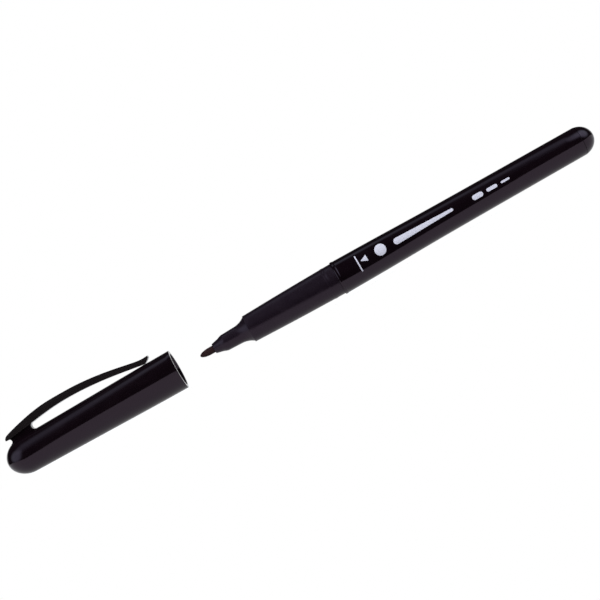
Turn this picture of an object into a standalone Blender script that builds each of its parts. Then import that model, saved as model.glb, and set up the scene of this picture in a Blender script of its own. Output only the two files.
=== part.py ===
"""Permanent marker with its cap pulled off, lying along X with the pocket clip on top.

The nib points to -X, towards the open cap. The origin is on the table, under the middle of the whole.
All sizes are in metres.
"""

import math

import bmesh
import bpy
from mathutils import Matrix

# Facets round each turned piece, and pieces in each curved stretch of an outline
ROUND_SIDES = 48
CURVE_STEPS = 3
DOME_STEPS = 8
SHARP_ANGLE = math.radians(30)
MERGE_DISTANCE = 1e-7

# Clearances
SEAT_GAP = 0.0003
FIT_GAP = 0.00015
NIB_GAP = 0.0001
CAP_CLEARANCE = 0.0002

# Nib
NIB_DIAMETER = 0.00215
NIB_POINT_LENGTH = 0.0032
NIB_REACH = 0.0039
NIB_ENGAGEMENT = 0.008
NIB_TAIL_TAPER = 0.0015

# Ink store
RESERVOIR_DIAMETER = 0.0058
WRAP_THICKNESS = 0.00015

# Nose of the front section
NOSE_LIP_WALL = 0.00022
NOSE_COLLAR_LENGTH = 0.0006
NOSE_CONE_LENGTH = 0.0036
NOSE_TUBE_LENGTH = 0.0043
NOSE_TUBE_FRONT_DIAMETER = 0.0049
NOSE_TUBE_REAR_DIAMETER = 0.0052
NOSE_FLARE_LENGTH = 0.0038

# Grip of the front section
SECTION_LENGTH = 0.0285
SECTION_FRONT_DIAMETER = 0.0082
SECTION_SWELL = 0.00008
SECTION_STEP = 0.00061
AIR_CHAMBER_DIAMETER = 0.0044
AIR_CHAMBER_LENGTH = 0.0097
SPIGOT_LENGTH = 0.012
SPIGOT_WALL = 0.00065
SNAP_BEAD_SETBACK = 0.0027
SNAP_BEAD_WIDTH = 0.0014
SNAP_BEAD_HEIGHT = 0.00008

# Barrel: wall thickness over the bore at places measured from its front face
BARREL_LENGTH = 0.0797
BARREL_LIP_LENGTH = 0.0013
BARREL_LIP_WALL = 0.0008
BARREL_LIP_PROUD = 0.0001
BARREL_SHOULDER_AT = 0.013
BARREL_SHOULDER_WALL = 0.001375
BARREL_WAIST_AT = 0.030
BARREL_WAIST_WALL = 0.0011
BARREL_SLIM_AT = 0.045
BARREL_SLIM_WALL = 0.00098
BARREL_REAR_WALL = 0.00084
BARREL_RIB_COUNT = 6
BARREL_RIB_WIDTH = 0.0005
BARREL_RIB_HEIGHT = 0.00015

# Rear plug
PLUG_DOME_LENGTH = 0.0034
PLUG_DOME_SINK = 0.0014
PLUG_GATE_DIAMETER = 0.0014
PLUG_SPIGOT_LENGTH = 0.007
PLUG_WALL = 0.0009

# Cap
CAP_OFF_GAP = 0.0074
CAP_WALL = 0.00105
CAP_DOME_LENGTH = 0.0065
CAP_RIM_ROUND = 0.0004
CAP_END_WALL = 0.0016
NIB_HEADROOM = 0.0029
LINER_FLOOR = 0.001
LINER_WALL = 0.00075
LINER_FLANGE_LENGTH = 0.0032
LINER_SETBACK = 0.0008
LINER_LEAD_IN = 0.0003

# Pocket clip: heights are measured from the cap's surface or across the arm
CLIP_WIDTH_ROOT = 0.0042
CLIP_WIDTH_TIP = 0.0034
CLIP_EDGE = 0.0004
CLIP_TAIL_AT = 0.0030
CLIP_TAIL_SLANT = 0.0012
CLIP_TAIL_HEIGHT = 0.0009
CLIP_TAIL_THICKNESS = 0.0013
CLIP_SPLIT_AT = 0.0118
CLIP_ROOT_GAP = 0.0019
CLIP_ROOT_THICKNESS = 0.0024
CLIP_FLAT_LENGTH = 0.0066
CLIP_CROWN_AT = 0.0237
CLIP_CROWN_GAP = 0.00285
CLIP_CROWN_THICKNESS = 0.00225
CLIP_NECK_THICKNESS = 0.0013
CLIP_MOUTH_SETBACK = 0.0056
CLIP_PAD_LENGTH = 0.0030
CLIP_PAD_DEPTH = 0.00035
CLIP_PAD_THICKNESS = 0.00155
CLIP_TIP_LIFT = 0.0010
CLIP_TIP_THICKNESS = 0.0007
CLIP_RISE = 0.20
CLIP_FALL = -0.14
CLIP_WEB_WIDTH = 0.0024
CLIP_WEB_SINK = 0.0005
CLIP_NOTCH_DIAMETER = 0.0013

# Small rounded edges
EDGE = 0.00015

# Radii that follow from the sizes above, from the ink store outwards
NIB_RADIUS = NIB_DIAMETER / 2
NIB_CHANNEL_RADIUS = NIB_RADIUS + NIB_GAP
RESERVOIR_RADIUS = RESERVOIR_DIAMETER / 2
WRAP_INNER_RADIUS = RESERVOIR_RADIUS + FIT_GAP
WRAP_OUTER_RADIUS = WRAP_INNER_RADIUS + WRAP_THICKNESS
CHAMBER_RADIUS = WRAP_OUTER_RADIUS + SEAT_GAP
SPIGOT_RADIUS = CHAMBER_RADIUS + SPIGOT_WALL
SOCKET_RADIUS = SPIGOT_RADIUS + FIT_GAP
BARREL_LIP_RADIUS = SOCKET_RADIUS + BARREL_LIP_WALL
BARREL_REAR_RADIUS = CHAMBER_RADIUS + BARREL_REAR_WALL
PLUG_SPIGOT_RADIUS = CHAMBER_RADIUS - FIT_GAP
SECTION_FRONT_RADIUS = SECTION_FRONT_DIAMETER / 2
SECTION_REAR_RADIUS = SPIGOT_RADIUS + SECTION_STEP
CAP_MOUTH_BORE = SECTION_REAR_RADIUS + CAP_CLEARANCE
CAP_END_BORE = SECTION_FRONT_RADIUS + FIT_GAP
CAP_MOUTH_RADIUS = CAP_MOUTH_BORE + CAP_WALL
CAP_END_RADIUS = CAP_END_BORE + CAP_WALL
LINER_BORE = NOSE_TUBE_REAR_DIAMETER / 2 + FIT_GAP
LINER_TUBE_RADIUS = LINER_BORE + LINER_WALL
LINER_FLANGE_RADIUS = CAP_END_BORE - FIT_GAP

# Places along the pen, measured from the tip of the nib
NOSE_TIP_AT = NIB_REACH
NOSE_CONE_AT = NOSE_TIP_AT + NOSE_COLLAR_LENGTH
NOSE_TUBE_AT = NOSE_CONE_AT + NOSE_CONE_LENGTH
NOSE_FLARE_AT = NOSE_TUBE_AT + NOSE_TUBE_LENGTH
SHOULDER_AT = NOSE_FLARE_AT + NOSE_FLARE_LENGTH
SECTION_REAR_AT = SHOULDER_AT + SECTION_LENGTH
BARREL_AT = SECTION_REAR_AT + SEAT_GAP
BARREL_REAR_AT = BARREL_AT + BARREL_LENGTH
PLUG_AT = BARREL_REAR_AT + SEAT_GAP
PEN_LENGTH = PLUG_AT + PLUG_DOME_LENGTH
RESERVOIR_SEAT_AT = SHOULDER_AT + AIR_CHAMBER_LENGTH
RESERVOIR_AT = RESERVOIR_SEAT_AT + SEAT_GAP
RESERVOIR_LENGTH = PLUG_AT - PLUG_SPIGOT_LENGTH - SEAT_GAP - RESERVOIR_AT
NIB_LENGTH = RESERVOIR_AT + NIB_ENGAGEMENT

# Places along the cap, measured from its closed end
LINER_AT = CAP_DOME_LENGTH + SEAT_GAP
CAPPED_NIB_AT = LINER_AT + LINER_FLOOR + NIB_HEADROOM
CAP_LENGTH = CAPPED_NIB_AT + SECTION_REAR_AT
LINER_LENGTH = LINER_FLOOR + NIB_HEADROOM + NOSE_FLARE_AT - LINER_SETBACK
CLIP_END_AT = CAP_LENGTH - CLIP_MOUTH_SETBACK
CLIP_PAD_AT = CLIP_END_AT - CLIP_PAD_LENGTH
CLIP_ARM_AT = CLIP_SPLIT_AT + SEAT_GAP

# The whole, from the cap's closed end to the pen's tail, is centred on the origin and lies on z = 0
TOTAL_LENGTH = CAP_LENGTH + CAP_OFF_GAP + PEN_LENGTH
CAP_X = -TOTAL_LENGTH / 2
PEN_X = CAP_X + CAP_LENGTH + CAP_OFF_GAP
AXIS_HEIGHT = CAP_MOUTH_RADIUS * math.cos(math.pi / ROUND_SIDES)


# Curves that the outlines are made of

def ellipse_arc(centre_x, reach_x, reach_r, start, end, steps):
    """Points on an ellipse round (centre_x, axis); angles in radians from +X towards the outside."""
    angles = [start + (end - start) * step / steps for step in range(steps + 1)]
    return [(centre_x + reach_x * math.cos(a), reach_r * math.sin(a)) for a in angles]


def flare_arc(start, end, steps):
    """A circular arc that leaves start along X and curves outwards to end."""
    run = end[0] - start[0]
    rise = end[1] - start[1]
    turn = 2 * math.atan2(rise, run)
    radius = run / math.sin(turn)
    angles = [turn * step / steps for step in range(steps + 1)]
    return [(start[0] + radius * math.sin(a), start[1] + radius * (1 - math.cos(a))) for a in angles]


def slope_curve(start, start_slope, end, end_slope, steps):
    """A cubic from start to end with the given slopes, points included at both ends."""
    run = end[0] - start[0]
    points = []
    for step in range(steps + 1):
        t = step / steps
        low = 1 - 3 * t ** 2 + 2 * t ** 3
        leave = (t ** 3 - 2 * t ** 2 + t) * run * start_slope
        arrive = (t ** 3 - t ** 2) * run * end_slope
        points.append((start[0] + run * t, start[1] * low + end[1] * (1 - low) + leave + arrive))
    return points


def smooth_line(stations, steps):
    """One smooth curve through all stations, with steps pieces between neighbours."""
    slopes = []
    for index in range(len(stations)):
        before = stations[max(index - 1, 0)]
        after = stations[min(index + 1, len(stations) - 1)]
        slopes.append((after[1] - before[1]) / (after[0] - before[0]))
    points = [stations[0]]
    for index in range(len(stations) - 1):
        pair = (stations[index], slopes[index], stations[index + 1], slopes[index + 1])
        points += slope_curve(*pair, steps)[1:]
    return points


def value_on(points, place):
    """Height of a polyline at a place along X, carried on straight past its ends."""
    for before, after in zip(points, points[1:]):
        if place <= after[0]:
            break
    return before[1] + (after[1] - before[1]) * (place - before[0]) / (after[0] - before[0])


# Making objects

def clear_scene():
    for scene_object in list(bpy.data.objects):
        bpy.data.objects.remove(scene_object, do_unlink=True)


def plastic(name, colour, roughness):
    material = bpy.data.materials.new(name)
    material.use_nodes = True
    shader = material.node_tree.nodes["Principled BSDF"]
    shader.inputs["Base Color"].default_value = (*colour, 1.0)
    shader.inputs["Roughness"].default_value = roughness
    shader.inputs["Metallic"].default_value = 0.0
    return material


def empty(name, place, parent=None):
    holder = bpy.data.objects.new(name, None)
    holder.location = place
    holder.parent = parent
    bpy.context.scene.collection.objects.link(holder)
    return holder


def add_object(name, bm, parent, place, material):
    """Turn a bmesh into a named, smooth-shaded object under its parent."""
    bmesh.ops.recalc_face_normals(bm, faces=bm.faces)
    mesh = bpy.data.meshes.new(name)
    bm.to_mesh(mesh)
    bm.free()
    mesh.shade_smooth()
    mesh.set_sharp_from_angle(angle=SHARP_ANGLE)
    mesh.materials.append(material)
    piece = bpy.data.objects.new(name, mesh)
    piece.location = place
    piece.parent = parent
    bpy.context.scene.collection.objects.link(piece)
    return piece


def turned_bmesh(outline):
    """Spin an outline of (x, radius) points round the X axis, with a flat facet at the bottom.

    An outline that starts and ends on the axis stays open there; any other one is closed.
    """
    bm = bmesh.new()
    half_step = math.pi / ROUND_SIDES
    verts = []
    for x, radius in outline:
        verts.append(bm.verts.new((x, -radius * math.sin(half_step), radius * math.cos(half_step))))
    edges = [bm.edges.new(pair) for pair in zip(verts, verts[1:])]
    on_axis = outline[0][1] == 0 and outline[-1][1] == 0
    if not on_axis:
        edges.append(bm.edges.new((verts[-1], verts[0])))
    bmesh.ops.spin(bm, geom=verts + edges, cent=(0, 0, 0), axis=(1, 0, 0), angle=2 * math.pi,
                   steps=ROUND_SIDES, use_merge=True)
    bmesh.ops.remove_doubles(bm, verts=bm.verts, dist=MERGE_DISTANCE)
    return bm


def turned(name, outline, parent, place_x, material):
    return add_object(name, turned_bmesh(outline), parent, (place_x, 0, 0), material)


def strip_bmesh(stations, edge):
    """A bar along X from (x, low, high, width) stations, its two upper edges cut by edge."""
    bm = bmesh.new()
    rings = []
    for x, low, high, width in stations:
        half = width / 2
        cut = min(edge, (high - low) / 2)
        outline = [(-half, low), (-half, high - cut), (cut - half, high),
                   (half - cut, high), (half, high - cut), (half, low)]
        rings.append([bm.verts.new((x, y, z)) for y, z in outline])
    for near, far in zip(rings, rings[1:]):
        for index in range(len(near)):
            after = (index + 1) % len(near)
            bm.faces.new((near[index], near[after], far[after], far[index]))
    bm.faces.new(rings[0])
    bm.faces.new(rings[-1])
    return bm


def plate_bmesh(outline, width):
    """A flat plate in the XZ plane, with the given width across Y."""
    bm = bmesh.new()
    face = bm.faces.new([bm.verts.new((x, -width / 2, z)) for x, z in outline])
    sweep = bmesh.ops.extrude_face_region(bm, geom=[face])
    moved = [item for item in sweep["geom"] if isinstance(item, bmesh.types.BMVert)]
    bmesh.ops.translate(bm, verts=moved, vec=(0, width, 0))
    return bm


def join_into(piece, addition):
    """Fuse a helper shape into a piece; the helper itself stays out of the model."""
    addition.hide_render = True
    addition.display_type = "WIRE"
    union = piece.modifiers.new("join " + addition.name, "BOOLEAN")
    union.operation = "UNION"
    union.solver = "EXACT"
    union.object = addition


# Pieces of the pen

def make_nib(pen, material):
    point = ellipse_arc(NIB_POINT_LENGTH, NIB_POINT_LENGTH, NIB_RADIUS, math.pi, math.pi / 2, DOME_STEPS)
    outline = [(0, 0)] + point[1:]
    outline += [(NIB_LENGTH - NIB_TAIL_TAPER, NIB_RADIUS), (NIB_LENGTH, NIB_RADIUS / 2), (NIB_LENGTH, 0)]
    turned("nib", outline, pen, 0, material)


def section_skin():
    """Outer line of the grip, from the shoulder to the barrel, measured from the tip of the nose."""
    shoulder = SHOULDER_AT - NOSE_TIP_AT
    rear = SECTION_REAR_AT - NOSE_TIP_AT
    bead = rear - SNAP_BEAD_SETBACK
    middle = (shoulder + rear) / 2
    middle_radius = (SECTION_FRONT_RADIUS + SECTION_REAR_RADIUS) / 2 + SECTION_SWELL
    ends = ((shoulder, SECTION_FRONT_RADIUS), (middle, middle_radius), (rear, SECTION_REAR_RADIUS))
    grip = smooth_line(ends, CURVE_STEPS)
    bead_ends = (bead - SNAP_BEAD_WIDTH / 2, bead + SNAP_BEAD_WIDTH / 2)
    before = [point for point in grip if point[0] < bead_ends[0]]
    top = (bead, value_on(grip, bead) + SNAP_BEAD_HEIGHT)
    ring = [(bead_ends[0], value_on(grip, bead_ends[0])), top, (bead_ends[1], value_on(grip, bead_ends[1]))]
    return before + ring + [grip[-1]]


def make_front_section(pen, material):
    tube_front = NOSE_TUBE_FRONT_DIAMETER / 2
    tube_rear = NOSE_TUBE_REAR_DIAMETER / 2
    tip_radius = NIB_CHANNEL_RADIUS + NOSE_LIP_WALL
    cone = NOSE_CONE_AT - NOSE_TIP_AT
    tube = NOSE_TUBE_AT - NOSE_TIP_AT
    flare = NOSE_FLARE_AT - NOSE_TIP_AT
    shoulder = SHOULDER_AT - NOSE_TIP_AT
    rear = SECTION_REAR_AT - NOSE_TIP_AT
    spigot_end = rear + SPIGOT_LENGTH
    seat = RESERVOIR_SEAT_AT - NOSE_TIP_AT
    outline = [(0, NIB_CHANNEL_RADIUS), (0, tip_radius), (cone, tip_radius + EDGE / 2)]
    outline += [(tube - EDGE, tube_front - EDGE / 2), (tube + EDGE, tube_front)]
    outline += flare_arc((flare, tube_rear), (shoulder - EDGE, SECTION_FRONT_RADIUS - EDGE), 2 * CURVE_STEPS)
    outline += section_skin()
    outline += [(rear, SPIGOT_RADIUS), (spigot_end, SPIGOT_RADIUS), (spigot_end, CHAMBER_RADIUS)]
    outline += [(seat, CHAMBER_RADIUS), (seat, AIR_CHAMBER_DIAMETER / 2)]
    outline += [(shoulder, AIR_CHAMBER_DIAMETER / 2), (shoulder, NIB_CHANNEL_RADIUS)]
    turned("front_section", outline, pen, NOSE_TIP_AT, material)


def make_reservoir(pen, fibre, film):
    pocket = NIB_ENGAGEMENT + SEAT_GAP
    core = [(pocket, 0), (pocket, NIB_CHANNEL_RADIUS), (0, NIB_CHANNEL_RADIUS), (0, RESERVOIR_RADIUS)]
    core += [(RESERVOIR_LENGTH, RESERVOIR_RADIUS), (RESERVOIR_LENGTH, 0)]
    turned("ink_reservoir", core, pen, RESERVOIR_AT, fibre)
    sleeve = [(0, WRAP_INNER_RADIUS), (0, WRAP_OUTER_RADIUS)]
    sleeve += [(RESERVOIR_LENGTH, WRAP_OUTER_RADIUS), (RESERVOIR_LENGTH, WRAP_INNER_RADIUS)]
    turned("reservoir_wrap", sleeve, pen, RESERVOIR_AT, film)


def make_barrel_ribs(pen, material):
    """Thin ribs along the bore that keep the ink store central and leave air passages beside it."""
    start = SPIGOT_LENGTH + 2 * SEAT_GAP
    end = BARREL_LENGTH - PLUG_SPIGOT_LENGTH - 2 * SEAT_GAP
    low = CHAMBER_RADIUS - BARREL_RIB_HEIGHT
    high = CHAMBER_RADIUS + BARREL_REAR_WALL / 2
    bm = bmesh.new()
    for index in range(BARREL_RIB_COUNT):
        rib = bmesh.ops.create_cube(bm, size=1)
        bmesh.ops.scale(bm, verts=rib["verts"], vec=(end - start, BARREL_RIB_WIDTH, high - low))
        bmesh.ops.translate(bm, verts=rib["verts"], vec=((start + end) / 2, 0, (low + high) / 2))
        turn = Matrix.Rotation(2 * math.pi * index / BARREL_RIB_COUNT, 3, "X")
        bmesh.ops.rotate(bm, verts=rib["verts"], cent=(0, 0, 0), matrix=turn)
    return add_object("barrel_ribs", bm, pen, (BARREL_AT, 0, 0), material)


def make_barrel(pen, material):
    front_radius = BARREL_LIP_RADIUS - BARREL_LIP_PROUD
    body = smooth_line(((BARREL_LIP_LENGTH + EDGE, front_radius),
                        (BARREL_SHOULDER_AT, CHAMBER_RADIUS + BARREL_SHOULDER_WALL),
                        (BARREL_WAIST_AT, CHAMBER_RADIUS + BARREL_WAIST_WALL),
                        (BARREL_SLIM_AT, CHAMBER_RADIUS + BARREL_SLIM_WALL),
                        (BARREL_LENGTH - EDGE, BARREL_REAR_RADIUS)), CURVE_STEPS)
    socket_end = SPIGOT_LENGTH + SEAT_GAP
    outline = [(0, SOCKET_RADIUS), (0, BARREL_LIP_RADIUS - EDGE), (EDGE, BARREL_LIP_RADIUS)]
    outline += [(BARREL_LIP_LENGTH, BARREL_LIP_RADIUS)] + body
    outline += [(BARREL_LENGTH, BARREL_REAR_RADIUS - EDGE), (BARREL_LENGTH, CHAMBER_RADIUS)]
    outline += [(socket_end, CHAMBER_RADIUS), (socket_end, SOCKET_RADIUS)]
    barrel = turned("barrel", outline, pen, BARREL_AT, material)
    join_into(barrel, make_barrel_ribs(pen, material))


def make_rear_plug(pen, material):
    gate = math.asin(PLUG_GATE_DIAMETER / 2 / BARREL_REAR_RADIUS)
    reach = (PLUG_DOME_LENGTH + PLUG_DOME_SINK) / math.cos(gate)
    start = math.acos(PLUG_DOME_SINK / reach)
    dome = ellipse_arc(-PLUG_DOME_SINK, reach, BARREL_REAR_RADIUS, start, gate, DOME_STEPS)
    inner = PLUG_SPIGOT_RADIUS - PLUG_WALL
    front = -PLUG_SPIGOT_LENGTH
    outline = [(0, 0), (0, inner), (front, inner), (front, PLUG_SPIGOT_RADIUS - EDGE)]
    outline += [(front + EDGE, PLUG_SPIGOT_RADIUS), (0, PLUG_SPIGOT_RADIUS)]
    outline += dome + [(PLUG_DOME_LENGTH, 0)]
    turned("rear_plug", outline, pen, PLUG_AT, material)


# Pieces of the cap

def cap_skin():
    """Outer line of the cap from the closed end to the rim."""
    dome = ellipse_arc(CAP_DOME_LENGTH, CAP_DOME_LENGTH, CAP_END_RADIUS, math.pi, math.pi / 2, DOME_STEPS)
    rim_turn = [math.pi / 2 * step / CURVE_STEPS for step in range(CURVE_STEPS + 1)]
    rim_x = CAP_LENGTH - CAP_RIM_ROUND
    rim_radius = CAP_MOUTH_RADIUS - CAP_RIM_ROUND
    rim = [(rim_x + CAP_RIM_ROUND * math.sin(a), rim_radius + CAP_RIM_ROUND * math.cos(a)) for a in rim_turn]
    return [(0, 0)] + dome[1:] + rim


def make_cap_shell(cap, material):
    inner_reach = CAP_DOME_LENGTH - CAP_END_WALL
    hollow = ellipse_arc(CAP_DOME_LENGTH, inner_reach, CAP_END_BORE, math.pi / 2, math.pi, DOME_STEPS)
    outline = cap_skin() + [(CAP_LENGTH, CAP_MOUTH_BORE)] + hollow[:-1] + [(CAP_END_WALL, 0)]
    shell = turned("cap_shell", outline, cap, 0, material)
    join_into(shell, make_clip_web(cap, material))
    join_into(shell, make_clip_root(cap, material))


def make_cap_inner_seal(cap, material):
    outline = [(0, 0), (0, LINER_FLANGE_RADIUS), (LINER_FLANGE_LENGTH, LINER_FLANGE_RADIUS)]
    outline += [(LINER_FLANGE_LENGTH, LINER_TUBE_RADIUS), (LINER_LENGTH, LINER_TUBE_RADIUS)]
    outline += [(LINER_LENGTH, LINER_BORE + LINER_LEAD_IN), (LINER_LENGTH - LINER_LEAD_IN, LINER_BORE)]
    outline += [(LINER_FLOOR, LINER_BORE), (LINER_FLOOR, 0)]
    turned("cap_inner_seal", outline, cap, LINER_AT, material)


# Pocket clip: its under and upper lines, from the tail over the arched arm to the tip

def clip_tail():
    """Under and upper corner of the clip's slanted tail."""
    low = (CLIP_TAIL_AT, CAP_END_RADIUS + CLIP_TAIL_HEIGHT)
    return low, (low[0] + CLIP_TAIL_SLANT, low[1] + CLIP_TAIL_THICKNESS)


def clip_split_heights():
    """Under and upper height of the clip where its arm meets the root."""
    low = value_on(cap_skin(), CLIP_SPLIT_AT) + CLIP_ROOT_GAP
    return low, low + CLIP_ROOT_THICKNESS


def clip_width(place):
    share = (place - CLIP_TAIL_AT) / (CLIP_END_AT - CLIP_TAIL_AT)
    return CLIP_WIDTH_ROOT + (CLIP_WIDTH_TIP - CLIP_WIDTH_ROOT) * share


def clip_strip(stations, pivot):
    """Bar through (place, low, high) stations, measured from the pivot."""
    moved = [(x - pivot[0], low - pivot[1], high - pivot[1], clip_width(x)) for x, low, high in stations]
    return strip_bmesh(moved, CLIP_EDGE)


def clip_under_line():
    """Under side of the root, from the tail to the split."""
    return clip_tail()[0], (CLIP_SPLIT_AT, clip_split_heights()[0])


def clip_arm_stations():
    """The arched arm, with a flat stretch under its crown."""
    skin = cap_skin()
    root_low, root_high = clip_split_heights()
    flat_start = CLIP_CROWN_AT - CLIP_FLAT_LENGTH / 2
    flat_end = CLIP_CROWN_AT + CLIP_FLAT_LENGTH / 2
    crown_low = value_on(skin, CLIP_CROWN_AT) + CLIP_CROWN_GAP
    crown = (CLIP_CROWN_AT, crown_low + CLIP_CROWN_THICKNESS)
    neck = (CLIP_PAD_AT, value_on(skin, CLIP_PAD_AT) + SEAT_GAP + CLIP_PAD_DEPTH)
    neck_top = (neck[0], neck[1] + CLIP_NECK_THICKNESS)
    under = slope_curve((CLIP_ARM_AT, root_low), CLIP_RISE, (flat_start, crown_low), 0, CURVE_STEPS)
    under += slope_curve((flat_end, crown_low), 0, neck, CLIP_FALL, 2 * CURVE_STEPS)
    upper = slope_curve((CLIP_ARM_AT, root_high), CLIP_RISE, crown, 0, 2 * CURVE_STEPS)
    upper += slope_curve(crown, 0, neck_top, CLIP_FALL, 4 * CURVE_STEPS)[1:]
    return [(x, low, value_on(upper, x)) for x, low in under]


def clip_tip_stations():
    """The contact pad under the tip, and the end that turns away from the cap."""
    skin = cap_skin()
    stations = []
    for place in (CLIP_PAD_AT + CLIP_PAD_LENGTH / 3, CLIP_END_AT - CLIP_PAD_LENGTH / 3):
        low = value_on(skin, place) + SEAT_GAP
        stations.append((place, low, low + CLIP_PAD_THICKNESS))
    tip_low = value_on(skin, CLIP_END_AT) + SEAT_GAP + CLIP_TIP_LIFT
    return stations + [(CLIP_END_AT, tip_low, tip_low + CLIP_TIP_THICKNESS)]


def make_clip_root(cap, material):
    """The part of the clip that is moulded on the cap: its tail and the root of the arm."""
    tail_low, tail_high = clip_tail()
    split_high = (CLIP_SPLIT_AT, clip_split_heights()[1])
    under = clip_under_line()
    upper = slope_curve(tail_high, CLIP_RISE, split_high, CLIP_RISE, 2 * CURVE_STEPS)
    tip = (tail_low[0], tail_low[1], tail_low[1] + CLIP_EDGE)
    stations = [tip] + [(x, value_on(under, x), high) for x, high in upper]
    return add_object("clip_root", clip_strip(stations, (0, 0)), cap, (0, 0, 0), material)


def web_end(place, low, high, hollow):
    """One end of the web, from low to high, drawn in by hollow at its middle."""
    shares = [step / DOME_STEPS for step in range(DOME_STEPS + 1)]
    return [(place + hollow * math.sin(math.pi * share), low + (high - low) * share) for share in shares]


def make_clip_web(cap, material):
    """The narrow web between cap and clip, hollowed round at the tail notch and at the slot."""
    skin = cap_skin()
    under = clip_under_line()
    notch_radius = CLIP_NOTCH_DIAMETER / 2
    slot_radius = CLIP_ROOT_GAP / 2
    ends = ((clip_tail()[1][0] + notch_radius, notch_radius), (CLIP_SPLIT_AT - slot_radius / 2, -slot_radius))
    sides = []
    for place, hollow in ends:
        foot = value_on(skin, place) - CLIP_WEB_SINK
        head = value_on(under, place) + CLIP_WEB_SINK
        sides.append(web_end(place, foot, head, hollow))
    bm = plate_bmesh(sides[0] + sides[1][::-1], CLIP_WEB_WIDTH)
    return add_object("clip_web", bm, cap, (0, 0, 0), material)


def make_pocket_clip(cap, material):
    pivot = ((CLIP_SPLIT_AT + CLIP_ARM_AT) / 2, sum(clip_split_heights()) / 2)
    bm = clip_strip(clip_arm_stations() + clip_tip_stations(), pivot)
    add_object("pocket_clip", bm, cap, (pivot[0], 0, pivot[1]), material)


def main():
    clear_scene()
    gloss_black = plastic("gloss black plastic", (0.012, 0.008, 0.011), 0.18)
    satin_black = plastic("satin black plastic", (0.016, 0.011, 0.014), 0.38)
    nib_felt = plastic("inked nib fibre", (0.022, 0.010, 0.009), 0.75)
    ink_fibre = plastic("ink-soaked fibre", (0.02, 0.018, 0.022), 0.9)
    clear_film = plastic("reservoir film", (0.7, 0.7, 0.68), 0.3)
    seal_plastic = plastic("seal plastic", (0.03, 0.028, 0.03), 0.45)
    marker = empty("marker_axis", (0, 0, AXIS_HEIGHT))
    pen = empty("pen_axis", (PEN_X, 0, 0), marker)
    cap = empty("cap_axis", (CAP_X, 0, 0), marker)
    make_nib(pen, nib_felt)
    make_front_section(pen, satin_black)
    make_reservoir(pen, ink_fibre, clear_film)
    make_barrel(pen, gloss_black)
    make_rear_plug(pen, gloss_black)
    make_cap_shell(cap, gloss_black)
    make_cap_inner_seal(cap, seal_plastic)
    make_pocket_clip(cap, gloss_black)


main()
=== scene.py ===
"""Looks of a permanent marker with its cap pulled off, on a white table with its clip on top.

The pieces are turned, drawn and bent in Blender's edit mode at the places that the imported
solids give. All sizes are in metres.
"""

import math

import bmesh
import bpy
from mathutils import Matrix, Vector


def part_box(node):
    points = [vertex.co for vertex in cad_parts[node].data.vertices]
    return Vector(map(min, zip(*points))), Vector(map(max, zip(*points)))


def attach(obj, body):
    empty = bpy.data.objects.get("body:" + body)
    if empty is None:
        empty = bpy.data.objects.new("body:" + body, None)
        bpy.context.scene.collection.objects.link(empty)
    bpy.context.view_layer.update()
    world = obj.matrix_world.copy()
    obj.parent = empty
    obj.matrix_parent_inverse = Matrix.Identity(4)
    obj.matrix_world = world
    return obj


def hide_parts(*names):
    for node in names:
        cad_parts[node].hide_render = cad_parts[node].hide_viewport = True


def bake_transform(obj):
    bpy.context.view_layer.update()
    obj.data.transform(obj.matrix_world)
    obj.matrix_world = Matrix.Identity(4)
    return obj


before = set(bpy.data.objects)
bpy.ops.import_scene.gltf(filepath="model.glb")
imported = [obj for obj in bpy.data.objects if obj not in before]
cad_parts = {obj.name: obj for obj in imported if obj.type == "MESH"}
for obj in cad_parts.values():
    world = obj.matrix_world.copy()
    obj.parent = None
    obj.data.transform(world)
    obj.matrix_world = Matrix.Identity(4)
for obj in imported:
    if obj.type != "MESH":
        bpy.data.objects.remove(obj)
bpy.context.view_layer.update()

# The frame's turned solids have 48 flats, and turned pieces are drawn to those flats
FLATS = 48
FLAT_FIT = math.cos(math.pi / FLATS)

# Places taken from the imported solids
barrel_low, barrel_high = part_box("barrel")
plug_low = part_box("rear_plug")[0]
section_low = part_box("front_section")[0]
nib_low, nib_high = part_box("nib")
cap_low, cap_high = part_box("cap_shell")
seal_low, seal_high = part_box("cap_inner_seal")
AXIS_Z = (barrel_low.z + barrel_high.z) / 2

# Lathe and bench: steps round a turned piece and round small edges, and how lines are drawn
FINE_TURN = 128
PLAIN_TURN = 96
EDGE_STEPS = 4
RIM_STEPS = 5
STRAIGHT_HOLD = 0.1
SEED_PLANE = 0.001
MERGE = 2e-7
SMOOTH_ANGLE = math.radians(32)

# Barrel, measured from its front face
BARREL_LENGTH = 0.07925
BARREL_STRETCH = 0.00009
LIP_RADIUS = 0.0051
LIP_LENGTH = 0.0009
LIP_STEP = 0.0001
LIP_SLOPE = 0.00022
BARREL_SOCKET = 0.0043
BARREL_SOCKET_DEPTH = 0.0123
BARREL_BORE = 0.0035
BARREL_SHAPE = ((0.0130, 0.004875), (0.0300, 0.0046), (0.0450, 0.00448))
BARREL_STEPS = 8
BARREL_REAR_RADIUS = 0.00434
BARREL_REAR_ROUND = 0.0001

# Rear plug, measured from the barrel's rear face
PLUG_DOME = 0.0034
PLUG_DOME_STEPS = 22
PLUG_SINK = 0.0014
PLUG_GATE = 0.0007
PLUG_SPIGOT = 0.007
PLUG_SPIGOT_RADIUS = 0.00335
PLUG_SPIGOT_CHAMFER = 0.0001
PLUG_HOLLOW = 0.00245
PLUG_STRETCH = 0.00065

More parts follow.
